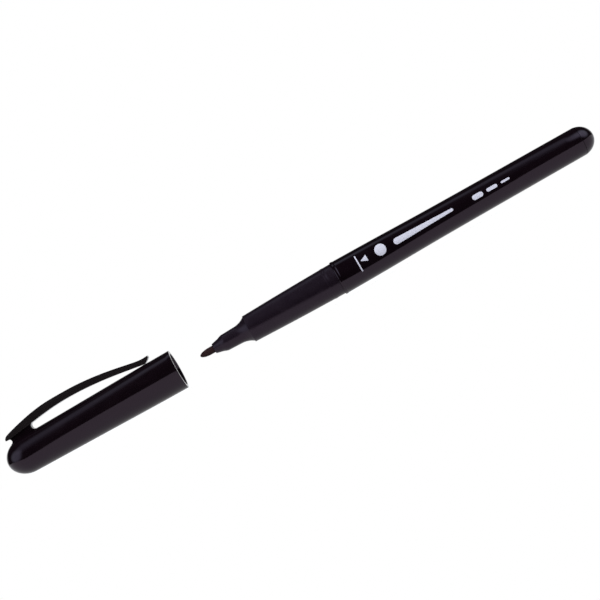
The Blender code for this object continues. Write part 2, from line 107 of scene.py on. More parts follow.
# Grip section, measured from the tip of the solid's nose
NOSE_START = 0.00055
NOSE_RADIUS = 0.001465
CHANNEL_RADIUS = 0.001175
SECTION_ROUND = 0.00006
CONE_START = 0.00075
LEDGE_START = 0.00285
LEDGE_RADIUS = 0.00203
LEDGE_STEP = 0.00002
LEDGE_SLOPE = 0.45
LEDGE_STEPS = 8
TUBE_START = 0.0043
TUBE_SLOPE = 0.03
TUBE_FRONT_RADIUS = 0.00247
TUBE_REAR_RADIUS = 0.0026
FLARE_START = 0.00815
FLARE_STEPS = 12
SHOULDER = 0.01195
SHOULDER_RADIUS = 0.0041
SHOULDER_STEP = 0.00025
GRIP_MIDDLE_RADIUS = 0.00451
GRIP_REAR_RADIUS = 0.00476
GRIP_REAR_ROUND = 0.0001
GRIP_STEPS = 9
BEAD_SETBACK = 0.0027
BEAD_WIDTH = 0.0014
BEAD_HEIGHT = 0.00008
BEAD_STEPS = 8
SECTION_REAR = 0.0408
SECTION_STRETCH = 0.00024
SPIGOT_RADIUS = 0.00415
SPIGOT_LENGTH = 0.012
STORE_RADIUS = 0.0035
STORE_SEAT = 0.0220
AIR_RADIUS = 0.0022

# Nib
NIB_RADIUS = 0.001075
NIB_POINT = 0.0032
NIB_POINT_STEPS = 20
NIB_WORN = 0.00016
NIB_TAPER = 0.0015

# Cap, measured from its closed end
CAP_DOME = 0.0065
CAP_DOME_STEPS = 26
CAP_END_RADIUS = 0.0053
CAP_END_WALL = 0.0016
CAP_END_BORE = 0.00425
CAP_HOLLOW_STEPS = 16
CAP_BELLY = ((0.0256, 0.0056), (0.0406, 0.00585), (0.0480, 0.00595))
CAP_BELLY_STEPS = 6
CAP_MOUTH_RADIUS = 0.00601
CAP_MOUTH_BORE = 0.00496
CAP_STRETCH = 0.0002
RIM_ROUND = 0.00010
RIM_INNER_ROUND = 0.00008

# Seal cup inside the cap
SEAL_FLANGE_RADIUS = 0.0041
SEAL_FLANGE = 0.0032
SEAL_TUBE_RADIUS = 0.0035
SEAL_BORE = 0.00275
SEAL_FLOOR = 0.001
SEAL_LEAD_IN = 0.0003
SEAL_CHAMFER = 0.00008

# Pocket clip: (place along the cap, height over the axis)
CLIP_UPPER = (
    (0.0030, 0.00676), (0.0033, 0.00716), (0.0037, 0.00748), (0.0046, 0.00784),
    (0.0056, 0.00814), (0.0076, 0.00868), (0.0096, 0.00917), (0.0116, 0.00961),
    (0.0136, 0.00998), (0.0166, 0.01038), (0.0196, 0.01055), (0.0226, 0.01058),
    (0.0256, 0.01056), (0.0286, 0.01045), (0.0316, 0.01020), (0.0346, 0.00985),
    (0.0376, 0.00940), (0.0406, 0.00887), (0.0436, 0.00827), (0.0464, 0.00776),
    (0.0474, 0.00765), (0.0486, 0.00762), (0.0498, 0.00772))
CLIP_UNDER = (
    (0.0030, 0.00626), (0.0041, 0.00624), (0.0056, 0.00648), (0.0086, 0.00690),
    (0.0110, 0.00716), (0.0136, 0.00755), (0.0166, 0.00794), (0.0196, 0.00823),
    (0.0226, 0.00838), (0.0256, 0.00840), (0.0286, 0.00832), (0.0316, 0.00812),
    (0.0346, 0.00785), (0.0376, 0.00749), (0.0406, 0.00706), (0.0436, 0.00658),
    (0.0464, 0.00614), (0.0474, 0.00598), (0.0481, 0.00598), (0.0489, 0.00634),
    (0.0498, 0.00706))
CLIP_LINE_STEPS = 6
CLIP_TAIL_STEP = 0.00015
CLIP_TAIL_END = 0.0046
CLIP_ARM_STEP = 0.0009
CLIP_TIP_START = 0.0464
CLIP_TIP_STEP = 0.00025
CLIP_WIDTH_TAIL = 0.0042
CLIP_WIDTH_TIP = 0.0034
CLIP_DRAFT = 0.00012
CLIP_ROUND = 0.00028
CLIP_ROUND_STEPS = 4
CLIP_ROUND_ANGLE = math.radians(45)

# Web between cap and clip: each end as (place along the cap, how far it is drawn in)
WEB_WIDTH = 0.0024
WEB_SINK = 0.0005
WEB_NOTCH = (0.0038, 0.0006)
WEB_SLOT = (0.0121, -0.0009)
WEB_ROUND_STEPS = 14
WEB_LINE_STEPS = 4

# Prints: how they are cut and laid on the barrel
PRINT_OFF = 0.008
PRINT_STEP = 0.00012
PRINT_LONG_STEP = 5 * PRINT_STEP
PRINT_FILM = 0.000012
PRINT_LIFT = 0.000006
STROKE_END_STEPS = 12

# Prints: places along the barrel from its front face, and heights over the axis
FILL_LINE = (0.0068, 0.00718)
FILL_LINE_HEIGHTS = (-0.00178, 0.00307)
ARROW = ((0.0078, 0.00104), (0.0099, 0.00007), (0.0099, 0.00201))

# Rounded strokes: start, end, half thickness at the start and at the end, height
STROKES = {
    "print_dot": (0.0126, 0.0160, 0.0017, 0.0017, 0.00110),
    "print_stroke": (0.0186, 0.0378, 0.00095, 0.00042, 0.00095),
    "print_dash_1": (0.0440, 0.0474, 0.00075, 0.00075, 0.00075),
    "print_dash_2": (0.0486, 0.0520, 0.00052, 0.00052, 0.00075),
    "print_dash_3": (0.0532, 0.0560, 0.00030, 0.00030, 0.00075),
}

# Finishes: where noise is read, and the depth of a fine moulded grain
NOISE_REACH = (0.3, 0.7)
NOISE_ROUGHNESS = 0.55
STRAND_ROUGHNESS = 0.65
FINE_GRAIN = 0.00001
PURPLE_SHEEN = (1.0, 0.76, 0.98, 1)
ROSE_SHEEN = (1.0, 0.82, 0.90, 1)

# Table: its front edge as (place along X, reach in front of the marker's axis)
TABLE_EDGE = (
    (-0.700, 0.045), (-0.105, 0.030), (-0.0905, 0.031), (-0.0885, 0.080), (-0.086, 0.125),
    (-0.060, 0.150), (-0.040, 0.090), (-0.028, 0.045), (-0.014, 0.025), (0.004, 0.0145),
    (0.016, 0.0115), (0.026, 0.0115), (0.052, 0.0165), (0.070, 0.022), (0.082, 0.030),
    (0.700, 0.035))
TABLE_EDGE_STEPS = 4
TABLE_BACK = 0.60
TABLE_DROP = 0.00002
TABLE_WHITE = 0.42
TABLE_GLOW = 0.68
TABLE_ROUGHNESS = 0.9

# The band of light over the marker hangs lower and wider towards a round softbox at each end
BAND_TILT = math.radians(102)
BAND_SAG = math.radians(780)
BAND_LOWEST = math.radians(52)
BAND_HALF = (math.radians(12), math.radians(26))
BAND_HALF_REACH = (0.10, 0.30)
BAND_LIGHT = (0.66, 0.0)
BAND_LIGHT_REACH = (0.35, 0.75)
BAND_EDGE = (0.35, 1.20)
BAND_BLUE = 0.14
LEFT_BOX = ((-0.77, -0.53, 0.355), 1.30)
RIGHT_BOX = ((0.71, -0.43, 0.557), 2.00)
BOX_EDGE = (math.cos(math.radians(37)), math.cos(math.radians(8)))
SWEEP_TOP = (0.25, 0.42)
SWEEP_SIDE = (0.50, 0.80)
ROOM_LIGHT = 0.02

# Lamps: place, size across and power
LAMPS = {
    "top_softbox": ((0.0, -0.25, 1.20), 1.4, 9.0),
    "front_softbox": ((0.0, -1.30, 0.55), 1.2, 10.0),
}

# Camera
VIEW_DISTANCE = 0.430
VIEW_WIDTH = 0.171
VIEW_RISE = math.radians(-0.57)
VIEW_ROLL = math.radians(29.6)
VIEW_ACROSS = -0.00019
VIEW_UP = 0.00028
VIEW_X = -0.00017
VIEW_DROP = 0.00035
VIEW_LIMITS = (0.01, 50.0)
FILM_WIDTH = 36.0


# Outlines: lists of (place along X, radius or height)

def bow(start, start_slope, end, end_slope, steps):
    """A smooth line from start to end that leaves and arrives with the given slopes."""
    run = end[0] - start[0]
    line = []
    for step in range(steps + 1):
        t = step / steps
        low = 1 - 3 * t ** 2 + 2 * t ** 3
        leave = (t ** 3 - 2 * t ** 2 + t) * run * start_slope
        arrive = (t ** 3 - t ** 2) * run * end_slope
        line.append((start[0] + run * t, start[1] * low + end[1] * (1 - low) + leave + arrive))
    return line


def through(points, steps):
    """One smooth line through all points, with so many steps from each to the next."""
    last = len(points) - 1
    slopes = []
    for index in range(last + 1):
        before = points[max(index - 1, 0)]
        after = points[min(index + 1, last)]
        slopes.append((after[1] - before[1]) / (after[0] - before[0]))
    line = [points[0]]
    for index in range(last):
        line += bow(points[index], slopes[index], points[index + 1], slopes[index + 1], steps)[1:]
    return line


def oval(centre, reach, start, end, steps):
    """Part of an oval round centre; angles in degrees from +X towards the outside."""
    line = []
    for step in range(steps + 1):
        angle = math.radians(start + (end - start) * step / steps)
        x = centre[0] + reach[0] * math.cos(angle)
        line.append((x, centre[1] + reach[1] * math.sin(angle)))
    return line


def front_edge(x, radius, size, steps=EDGE_STEPS):
    """A rounded outer edge at the front end of a piece."""
    return oval((x + size, radius - size), (size, size), 180, 90, steps)


def rear_edge(x, radius, size, steps=EDGE_STEPS):
    """A rounded outer edge at the rear end of a piece."""
    return oval((x - size, radius - size), (size, size), 90, 0, steps)


def straight(start, end):
    """A straight stretch with a point close to each end, which keeps its shading flat."""
    run = end[0] - start[0]
    rise = end[1] - start[1]
    shares = (0, STRAIGHT_HOLD, 1 - STRAIGHT_HOLD, 1)
    return [(start[0] + run * share, start[1] + rise * share) for share in shares]


def height_on(line, place):
    """Height of a line at a place, carried on straight past its ends."""
    for before, after in zip(line, line[1:]):
        if place <= after[0]:
            break
    return before[1] + (after[1] - before[1]) * (place - before[0]) / (after[0] - before[0])


# Work in edit mode

def clear_bench():
    """Leave edit mode and let go of everything."""
    if bpy.context.object and bpy.context.object.mode != "OBJECT":
        bpy.ops.object.mode_set(mode="OBJECT")
    bpy.ops.object.select_all(action="DESELECT")


def pick_up(piece):
    """Make the piece the only one that the next tool works on."""
    clear_bench()
    piece.select_set(True)
    bpy.context.view_layer.objects.active = piece


def first_point(x, z):
    """Merge the picked plane to one point and move it to where a line starts."""
    bpy.ops.mesh.merge(type="CENTER")
    bpy.ops.transform.translate(value=(x, 0, z))


def start_piece(name, x, z):
    """A new piece in edit mode that is only the first point of its line."""
    clear_bench()
    bpy.ops.mesh.primitive_plane_add(size=SEED_PLANE, location=(0, 0, 0))
    piece = bpy.context.object
    piece.name = name
    piece.data.name = name
    bpy.ops.object.mode_set(mode="EDIT")
    bpy.ops.mesh.select_all(action="SELECT")
    first_point(x, z)
    return piece


def draw_on(line):
    """Extrude the picked point from one place of the line to the next."""
    for before, after in zip(line, line[1:]):
        step = (after[0] - before[0], 0, after[1] - before[1])
        bpy.ops.mesh.extrude_vertices_move(TRANSFORM_OT_translate={"value": step})


def start_plate(name, line):
    """A new piece in edit mode: a closed line, filled with one face."""
    piece = start_piece(name, *line[0])
    draw_on(line + line[:1])
    bpy.ops.mesh.select_all(action="SELECT")
    bpy.ops.mesh.remove_doubles(threshold=MERGE)
    bpy.ops.mesh.edge_face_add()
    return piece


def pick_points(piece, wanted):
    """Select the points of the mesh for which wanted(place) holds."""
    bpy.ops.mesh.select_mode(type="VERT")
    bpy.ops.mesh.select_all(action="DESELECT")
    mesh = bmesh.from_edit_mesh(piece.data)
    for point in mesh.verts:
        point.select = wanted(point.co)
    mesh.select_flush_mode()
    bmesh.update_edit_mesh(piece.data)


def slice_up(low, high, cuts, way):
    """Cut the whole mesh into equal slices between low and high along way."""
    for cut in range(1, cuts):
        place = low + (high - low) * cut / cuts
        bpy.ops.mesh.select_all(action="SELECT")
        bpy.ops.mesh.bisect(plane_co=way * place, plane_no=way)


def close_up():
    """Merge what meets and turn all faces outwards."""
    bpy.ops.mesh.select_all(action="SELECT")
    bpy.ops.mesh.remove_doubles(threshold=MERGE)
    bpy.ops.mesh.normals_make_consistent(inside=False)


def smooth(piece):
    """Shade the piece smooth and keep its sharp edges."""
    pick_up(piece)
    bpy.ops.object.shade_smooth_by_angle(angle=SMOOTH_ANGLE)


def finish_with(piece, kind, **settings):
    """Add a modifier, set it and apply it."""
    pick_up(piece)
    bpy.ops.object.modifier_add(type=kind)
    modifier = piece.modifiers[-1]
    for setting, value in settings.items():
        setattr(modifier, setting, value)
    bpy.ops.object.modifier_apply(modifier=modifier.name)


def turn(name, outline, place, steps, ring=True):
    """Draw an outline of (x, radius) at a place along X and spin it round the pen's axis."""
    line = [(place + x, AXIS_Z + radius * FLAT_FIT) for x, radius in outline]
    if ring:
        line.append(line[0])
    piece = start_piece(name, *line[0])
    draw_on(line)
    bpy.ops.mesh.select_all(action="SELECT")
    bpy.ops.mesh.spin(steps=steps, angle=2 * math.pi, center=(0, 0, AXIS_Z), axis=(1, 0, 0))
    close_up()
    smooth(piece)
    return piece


# Turned pieces of the pen

def make_barrel():
    """The tapered tube with a raised lip at its front, sloped on both sides."""
    front = -BARREL_STRETCH
    rear = BARREL_LENGTH
    lip_low = LIP_RADIUS - LIP_STEP
    lip_start = (front + LIP_SLOPE, LIP_RADIUS)
    lip_end = (LIP_LENGTH - LIP_SLOPE, LIP_RADIUS)
    body_start = (LIP_LENGTH + LIP_STEP, lip_low)
    body_end = (rear - BARREL_REAR_ROUND, BARREL_REAR_RADIUS)
    outline = [(front, BARREL_SOCKET)]
    outline += straight((front, lip_low), lip_start)
    outline += straight(lip_start, lip_end)[1:]
    outline += straight(lip_end, (LIP_LENGTH, lip_low))[1:]
    outline += through((body_start, *BARREL_SHAPE, body_end), BARREL_STEPS)
    outline += rear_edge(rear, BARREL_REAR_RADIUS, BARREL_REAR_ROUND, RIM_STEPS)[1:]
    outline += [(rear, BARREL_BORE), (BARREL_SOCKET_DEPTH, BARREL_BORE)]
    outline += [(BARREL_SOCKET_DEPTH, BARREL_SOCKET)]
    return turn("barrel_tube", outline, barrel_low.x, FINE_TURN)


def make_plug():
    """The hollow plug with its dome, which has a small flat gate mark in the middle."""
    gate = math.degrees(math.asin(PLUG_GATE / BARREL_REAR_RADIUS))
    reach = (PLUG_DOME + PLUG_SINK) / math.cos(math.radians(gate))
    seam = math.degrees(math.acos((PLUG_SINK - PLUG_STRETCH) / reach))
    front = -PLUG_SPIGOT
    mid_wall = PLUG_HOLLOW + (PLUG_SPIGOT_RADIUS - PLUG_HOLLOW) / 2
    outline = [(0, 0), (0, PLUG_HOLLOW), (front, PLUG_HOLLOW), (front, mid_wall)]
    outline += [(front + PLUG_SPIGOT_CHAMFER, PLUG_SPIGOT_RADIUS)]
    outline += [(-PLUG_STRETCH, PLUG_SPIGOT_RADIUS)]
    outline += oval((-PLUG_SINK, 0), (reach, BARREL_REAR_RADIUS), seam, gate, PLUG_DOME_STEPS)
    outline += [(PLUG_DOME, 0)]
    return turn("tail_plug", outline, plug_low.x + PLUG_SPIGOT, FINE_TURN, ring=False)


def nose_line():
    """The nose from its rim over the cone and its small ledge to the straight tube."""
    line = front_edge(NOSE_START, NOSE_RADIUS, SECTION_ROUND)
    line += straight((CONE_START, NOSE_RADIUS + SECTION_ROUND), (LEDGE_START, LEDGE_RADIUS))
    ledge = (LEDGE_START, LEDGE_RADIUS + LEDGE_STEP)
    tube = (TUBE_START, TUBE_FRONT_RADIUS)
    return line + bow(ledge, LEDGE_SLOPE, tube, TUBE_SLOPE, LEDGE_STEPS)


def flare_line():
    """The hollow bend that leads from the nose's tube up to the shoulder."""
    run = SHOULDER - FLARE_START
    rise = SHOULDER_RADIUS - SHOULDER_STEP - TUBE_REAR_RADIUS
    sweep = 2 * math.atan2(rise, run)
    bend = run / math.sin(sweep)
    centre = (FLARE_START, TUBE_REAR_RADIUS + bend)
    return oval(centre, (bend, bend), -90, math.degrees(sweep) - 90, FLARE_STEPS)


def grip_line():
    """The grip from the shoulder to its rear edge, with the snap bead near the barrel."""
    shoulder = (SHOULDER, SHOULDER_RADIUS)
    middle = ((SHOULDER + SECTION_REAR) / 2, GRIP_MIDDLE_RADIUS)
    line = through((shoulder, middle, (SECTION_REAR, GRIP_REAR_RADIUS)), GRIP_STEPS)
    start = SECTION_REAR - BEAD_SETBACK - BEAD_WIDTH / 2
    bead = []
    for step in range(BEAD_STEPS + 1):
        place = start + BEAD_WIDTH * step / BEAD_STEPS
        lift = BEAD_HEIGHT * (1 - math.cos(2 * math.pi * step / BEAD_STEPS)) / 2
        bead.append((place, height_on(line, place) + lift))
    before = [point for point in line if point[0] < start]
    after = [point for point in line if point[0] > start + BEAD_WIDTH]
    return before + bead + after


def make_section():
    """The grip section: stepped nose, flare, grip and the spigot that sits in the barrel."""
    rear = SECTION_REAR + SECTION_STRETCH
    spigot = SECTION_REAR + SPIGOT_LENGTH
    outline = [(NOSE_START, CHANNEL_RADIUS)] + nose_line() + flare_line()
    outline += front_edge(SHOULDER, SHOULDER_RADIUS, SECTION_ROUND)
    outline += grip_line()[1:-1]
    outline += rear_edge(rear, GRIP_REAR_RADIUS, GRIP_REAR_ROUND)
    outline += [(rear, SPIGOT_RADIUS), (spigot, SPIGOT_RADIUS)]
    outline += [(spigot, STORE_RADIUS), (STORE_SEAT, STORE_RADIUS)]
    outline += [(STORE_SEAT, AIR_RADIUS), (SHOULDER, AIR_RADIUS), (SHOULDER, CHANNEL_RADIUS)]
    return turn("grip_section", outline, section_low.x, FINE_TURN)


def make_nib():
    """The fibre rod with a bullet point that is worn a little flat."""
    length = nib_high.x - nib_low.x
    point = oval((NIB_POINT, 0), (NIB_POINT, NIB_RADIUS), 180, 90, NIB_POINT_STEPS)
    outline = [(0, 0)] + [(x, radius) for x, radius in point if radius > NIB_WORN]
    outline += [(length - NIB_TAPER, NIB_RADIUS), (length, NIB_RADIUS / 2), (length, 0)]
    return turn("fibre_nib", outline, nib_low.x, PLAIN_TURN, ring=False)


# Cap with the clip's web, and the seal cup in it

def cap_line():
    """Outside of the cap from its closed end to the round of its rim."""
    length = cap_high.x - cap_low.x + CAP_STRETCH
    line = oval((CAP_DOME, 0), (CAP_DOME, CAP_END_RADIUS), 180, 90, CAP_DOME_STEPS)
    line[0] = (0, 0)
    mouth = (length - RIM_ROUND, CAP_MOUTH_RADIUS)
    line += through((line[-1], *CAP_BELLY, mouth), CAP_BELLY_STEPS)[1:]
    line += rear_edge(length, CAP_MOUTH_RADIUS, RIM_ROUND, RIM_STEPS)[1:]
    return line


def web_end(place, low, high, hollow):
    """One end of the web, rounded into cap and clip and drawn in by hollow at half its height."""
    middle = (low + high) / 2
    round_end = oval((place, middle), (hollow, (high - low) / 2), -90, 90, WEB_ROUND_STEPS)
    return [(place, low - WEB_SINK)] + round_end + [(place, high + WEB_SINK)]


def make_web():
    """The narrow wall that carries the clip on the cap."""
    skin = cap_line()
    under = through(CLIP_UNDER, WEB_LINE_STEPS)
    outline = []
    for place, hollow in (WEB_NOTCH, WEB_SLOT):
        side = web_end(place, height_on(skin, place) * FLAT_FIT, height_on(under, place), hollow)
        outline += side if hollow > 0 else side[::-1]
    web = start_plate("clip_web", [(cap_low.x + x, AXIS_Z + z) for x, z in outline])
    bpy.ops.transform.translate(value=(0, -WEB_WIDTH / 2, 0))
    bpy.ops.mesh.extrude_region_move(TRANSFORM_OT_translate={"value": (0, WEB_WIDTH, 0)})
    close_up()
    return web


def make_cap():
    """The domed cap with its hollow, joined with the web."""
    length = cap_high.x - cap_low.x + CAP_STRETCH
    mouth = (length - RIM_INNER_ROUND, CAP_MOUTH_BORE + RIM_INNER_ROUND)
    hollow_reach = (CAP_DOME - CAP_END_WALL, CAP_END_BORE)
    outline = cap_line()
    outline += oval(mouth, (RIM_INNER_ROUND, -RIM_INNER_ROUND), 0, 90, EDGE_STEPS)
    outline += oval((CAP_DOME, 0), hollow_reach, 90, 180, CAP_HOLLOW_STEPS)[:-1]
    outline += [(CAP_END_WALL, 0)]
    cap = turn("cap_body", outline, cap_low.x, FINE_TURN, ring=False)
    web = make_web()
    finish_with(cap, "BOOLEAN", operation="UNION", solver="EXACT", object=web)
    bpy.data.objects.remove(web, do_unlink=True)
    smooth(cap)
    return cap


def make_seal():
    """The flanged cup that closes round the nose when the cap is on."""
    length = seal_high.x - seal_low.x
    soft = SEAL_CHAMFER
    outline = [(0, 0), (0, SEAL_FLANGE_RADIUS - soft), (soft, SEAL_FLANGE_RADIUS)]
    outline += [(SEAL_FLANGE - soft, SEAL_FLANGE_RADIUS)]
    outline += [(SEAL_FLANGE, SEAL_FLANGE_RADIUS - soft), (SEAL_FLANGE, SEAL_TUBE_RADIUS)]
    outline += [(length - soft, SEAL_TUBE_RADIUS), (length, SEAL_TUBE_RADIUS - soft)]
    outline += [(length, SEAL_BORE + SEAL_LEAD_IN), (length - SEAL_LEAD_IN, SEAL_BORE)]
    outline += [(SEAL_FLOOR + soft, SEAL_BORE), (SEAL_FLOOR, SEAL_BORE - soft), (SEAL_FLOOR, 0)]
    return turn("seal_cup", outline, seal_low.x, PLAIN_TURN, ring=False)


# Pocket clip

def clip_places():
    """Stations along the clip, close together at its tail and at its tip."""
    place = CLIP_UPPER[0][0]
    end = CLIP_UPPER[-1][0]
    places = [place]
    while place < end:
        if place < CLIP_TAIL_END:
            place += CLIP_TAIL_STEP
        elif place < CLIP_TIP_START:
            place += CLIP_ARM_STEP
        else:
            place += CLIP_TIP_STEP
        places.append(min(place, end))
    return places


def clip_line(points):
    """A line of the clip in the shared frame, with a point at each station."""
    line = through(points, CLIP_LINE_STEPS)
    return [(cap_low.x + place, AXIS_Z + height_on(line, place)) for place in clip_places()]


def make_clip():
    """The moulded clip in one piece: tail, root, arched arm, contact pad and lifted tip."""
    low = clip_line(CLIP_UNDER)
    high = clip_line(CLIP_UPPER)
    clip = start_piece("clip_band", *low[0])
    draw_on(low)
    bpy.ops.mesh.select_all(action="DESELECT")
    bpy.ops.mesh.primitive_plane_add(size=SEED_PLANE, location=(0, 0, 0))
    first_point(*high[0])
    draw_on(high)
    bpy.ops.mesh.select_all(action="SELECT")
    bpy.ops.mesh.bridge_edge_loops()
    bpy.ops.mesh.select_all(action="SELECT")
    bpy.ops.transform.translate(value=(0, -CLIP_WIDTH_TAIL / 2, 0))
    bpy.ops.mesh.extrude_region_move(TRANSFORM_OT_translate={"value": (0, CLIP_WIDTH_TAIL, 0)})
    for line, draft in ((low, 0), (high, CLIP_DRAFT)):
        for x, z in line:
            share = (x - low[0][0]) / (low[-1][0] - low[0][0])
            width = CLIP_WIDTH_TAIL + (CLIP_WIDTH_TIP - CLIP_WIDTH_TAIL) * share - 2 * draft
            pick_points(clip, lambda co: abs(co.x - x) < MERGE and abs(co.z - z) < MERGE)
            narrower = (1, width / CLIP_WIDTH_TAIL, 1)
            bpy.ops.transform.resize(value=narrower, center_override=(x, 0, z))
    close_up()
    finish_with(clip, "BEVEL", width=CLIP_ROUND, segments=CLIP_ROUND_STEPS,
                limit_method="ANGLE", angle_limit=CLIP_ROUND_ANGLE)
    smooth(clip)
    return clip


# Printed marks, drawn as seen from the side and laid on the barrel

def lay_print(name, outline, barrel):
    """Fill a flat outline of (x, height over the axis), slice it finely, lay it on the barrel."""
    line = [(x, AXIS_Z + z) for x, z in outline]
    places = [x for x, z in line]
    heights = [z for x, z in line]
    rows = int((max(heights) - min(heights)) / PRINT_STEP)
    columns = max(2, int((max(places) - min(places)) / PRINT_LONG_STEP))
    mark = start_plate(name, line)
    bpy.ops.transform.translate(value=(0, -PRINT_OFF, 0))
    slice_up(min(heights), max(heights), rows, Vector((0, 0, 1)))
    slice_up(min(places), max(places), columns, Vector((1, 0, 0)))
    bpy.ops.mesh.select_all(action="SELECT")
    bpy.ops.mesh.normals_make_consistent(inside=False)
    finish_with(mark, "SHRINKWRAP", target=barrel, wrap_method="PROJECT", use_project_y=True,
                offset=PRINT_LIFT)
    finish_with(mark, "SOLIDIFY", thickness=PRINT_FILM, offset=0)
    pick_up(mark)
    bpy.ops.object.mode_set(mode="EDIT")
    close_up()
    smooth(mark)
    return mark


def bar(start, end, low, high):
    """A plain upright bar."""
    return [(start, low), (end, low), (end, high), (start, high)]


def pill(start, end, start_half, end_half, height):
    """A rounded stroke along X whose two ends may differ in thickness."""
    front = (start + start_half, height)
    rear = (end - end_half, height)
    line = oval(rear, (end_half, end_half), -90, 90, STROKE_END_STEPS)
    return line + oval(front, (start_half, start_half), 90, 270, STROKE_END_STEPS)


def make_prints(barrel):
    """A fill line with an arrow to the nib, and plain strokes that show the line width."""
    x = barrel_low.x
    line_start, line_end = FILL_LINE
    outlines = {
        "print_line": bar(x + line_start, x + line_end, *FILL_LINE_HEIGHTS),
        "print_arrow": [(x + place, height) for place, height in ARROW],
    }
    for name, (start, end, start_half, end_half, height) in STROKES.items():
        outlines[name] = pill(x + start, x + end, start_half, end_half, height)
    return [lay_print(name, outline, barrel) for name, outline in outlines.items()]


# Finishes

class Finish:
    """A material under way, with the noise that varies its colour, gloss and relief."""

    def __init__(self, name):
        self.material = bpy.data.materials.new(name)
        self.material.use_nodes = True
        self.nodes = self.material.node_tree.nodes
        self.links = self.material.node_tree.links
        self.shader = self.nodes["Principled BSDF"]

    def speckle(self, waves, detail, roughness=NOISE_ROUGHNESS):
        """Noise in the piece's own metres, with so many waves per metre along X, Y and Z."""
        place = self.nodes.new("ShaderNodeTexCoord")
        stretch = self.nodes.new("ShaderNodeMapping")
        stretch.inputs["Scale"].default_value = waves
        noise = self.nodes.new("ShaderNodeTexNoise")
        noise.inputs["Scale"].default_value = 1.0
        noise.inputs["Detail"].default_value = detail
        noise.inputs["Roughness"].default_value = roughness
        self.links.new(place.outputs["Object"], stretch.inputs["Vector"])
        self.links.new(stretch.outputs["Vector"], noise.inputs["Vector"])
        return noise.outputs["Fac"]

    def blended(self, first, second, share):
        """Two noises in one, with this share of the second."""
        mix = self.nodes.new("ShaderNodeMix")
        mix.data_type = "FLOAT"
        mix.inputs["Factor"].default_value = share
        self.links.new(first, mix.inputs["A"])
        self.links.new(second, mix.inputs["B"])
        return mix.outputs["Result"]

    def colour(self, noise, colours):
        """Colour that follows the noise, from the first colour to the last."""
        start, end = NOISE_REACH
        ramp = self.nodes.new("ShaderNodeValToRGB")
        stops = ramp.color_ramp.elements
        stops[0].position, stops[0].color = start, (*colours[0], 1)
        stops[1].position, stops[1].color = end, (*colours[-1], 1)
        last = len(colours) - 1
        for index in range(1, last):
            stops.new(start + (end - start) * index / last).color = (*colours[index], 1)
        self.links.new(noise, ramp.inputs["Fac"])
        self.links.new(ramp.outputs["Color"], self.shader.inputs["Base Color"])

    def roughness(self, noise, low, high):
        """Roughness that follows the noise, from low to high."""
        span = self.nodes.new("ShaderNodeMapRange")
        span.inputs["From Min"].default_value, span.inputs["From Max"].default_value = NOISE_REACH
        span.inputs["To Min"].default_value = low
        span.inputs["To Max"].default_value = high
        self.links.new(noise, span.inputs["Value"])
        self.links.new(span.outputs["Result"], self.shader.inputs["Roughness"])

    def relief(self, noise, strength, depth=FINE_GRAIN):
        """Fine grain that stands up with the noise."""
        bump = self.nodes.new("ShaderNodeBump")
        bump.inputs["Strength"].default_value = strength
        bump.inputs["Distance"].default_value = depth
        self.links.new(noise, bump.inputs["Height"])
        self.links.new(bump.outputs["Normal"], self.shader.inputs["Normal"])

    def gloss(self, level, tint=None):
        """How strongly the surface mirrors, and in what colour."""
        self.shader.inputs["Specular IOR Level"].default_value = level
        if tint:
            self.shader.inputs["Specular Tint"].default_value = tint


def polished_plastic(name, colours, clouds, lines, handling, peel, roughness, gloss, tint):
    """Polished moulding: faint flow clouds, hair-fine draw lines and touches of handling."""
    finish = Finish(name)
    finish.colour(finish.speckle(clouds, detail=4), colours)
    draw_lines = finish.speckle(lines, detail=3)
    touches = finish.speckle(handling, detail=5)
    finish.roughness(finish.blended(draw_lines, touches, share=0.55), *roughness)
    peeled = finish.speckle(peel, detail=2)
    finish.relief(finish.blended(peeled, draw_lines, share=0.25), strength=0.10)
    finish.gloss(level=gloss, tint=tint)
    return finish.material


def gloss_black_plastic():
    """Barrel, plug and cap."""
    return polished_plastic(
        "gloss black plastic",
        colours=((0.0030, 0.0013, 0.0022), (0.0036, 0.0016, 0.0027), (0.0046, 0.0022, 0.0034)),
        clouds=(160, 420, 420), lines=(60, 5200, 5200), handling=(260, 260, 260),
        peel=(700, 1100, 1100), roughness=(0.075, 0.150), gloss=0.30, tint=PURPLE_SHEEN)


def clip_black_plastic():
    """The clip's moulding, a little greyer and less polished than the cap."""
    return polished_plastic(
        "clip black plastic",
        colours=((0.0072, 0.0053, 0.0056), (0.0085, 0.0063, 0.0067), (0.0101, 0.0077, 0.0081)),
        clouds=(220, 420, 420), lines=(90, 4200, 4200), handling=(320, 320, 320),
        peel=(900, 1100, 1100), roughness=(0.13, 0.22), gloss=0.36, tint=ROSE_SHEEN)


def satin_black_plastic():
    """Fine spark-eroded grain on the grip section."""
    finish = Finish("satin black plastic")
    clouds = finish.speckle(waves=(240, 420, 420), detail=4)
    finish.colour(clouds, ((0.0068, 0.0039, 0.0067), (0.0080, 0.0047, 0.0079),
                           (0.0094, 0.0058, 0.0092)))
    grain = finish.speckle(waves=(6500, 6500, 6500), detail=2)
    polish = finish.speckle(waves=(300, 300, 300), detail=4)
    finish.roughness(finish.blended(grain, polish, share=0.5), low=0.24, high=0.33)
    finish.relief(grain, strength=0.10)
    finish.gloss(level=0.25, tint=PURPLE_SHEEN)
    return finish.material


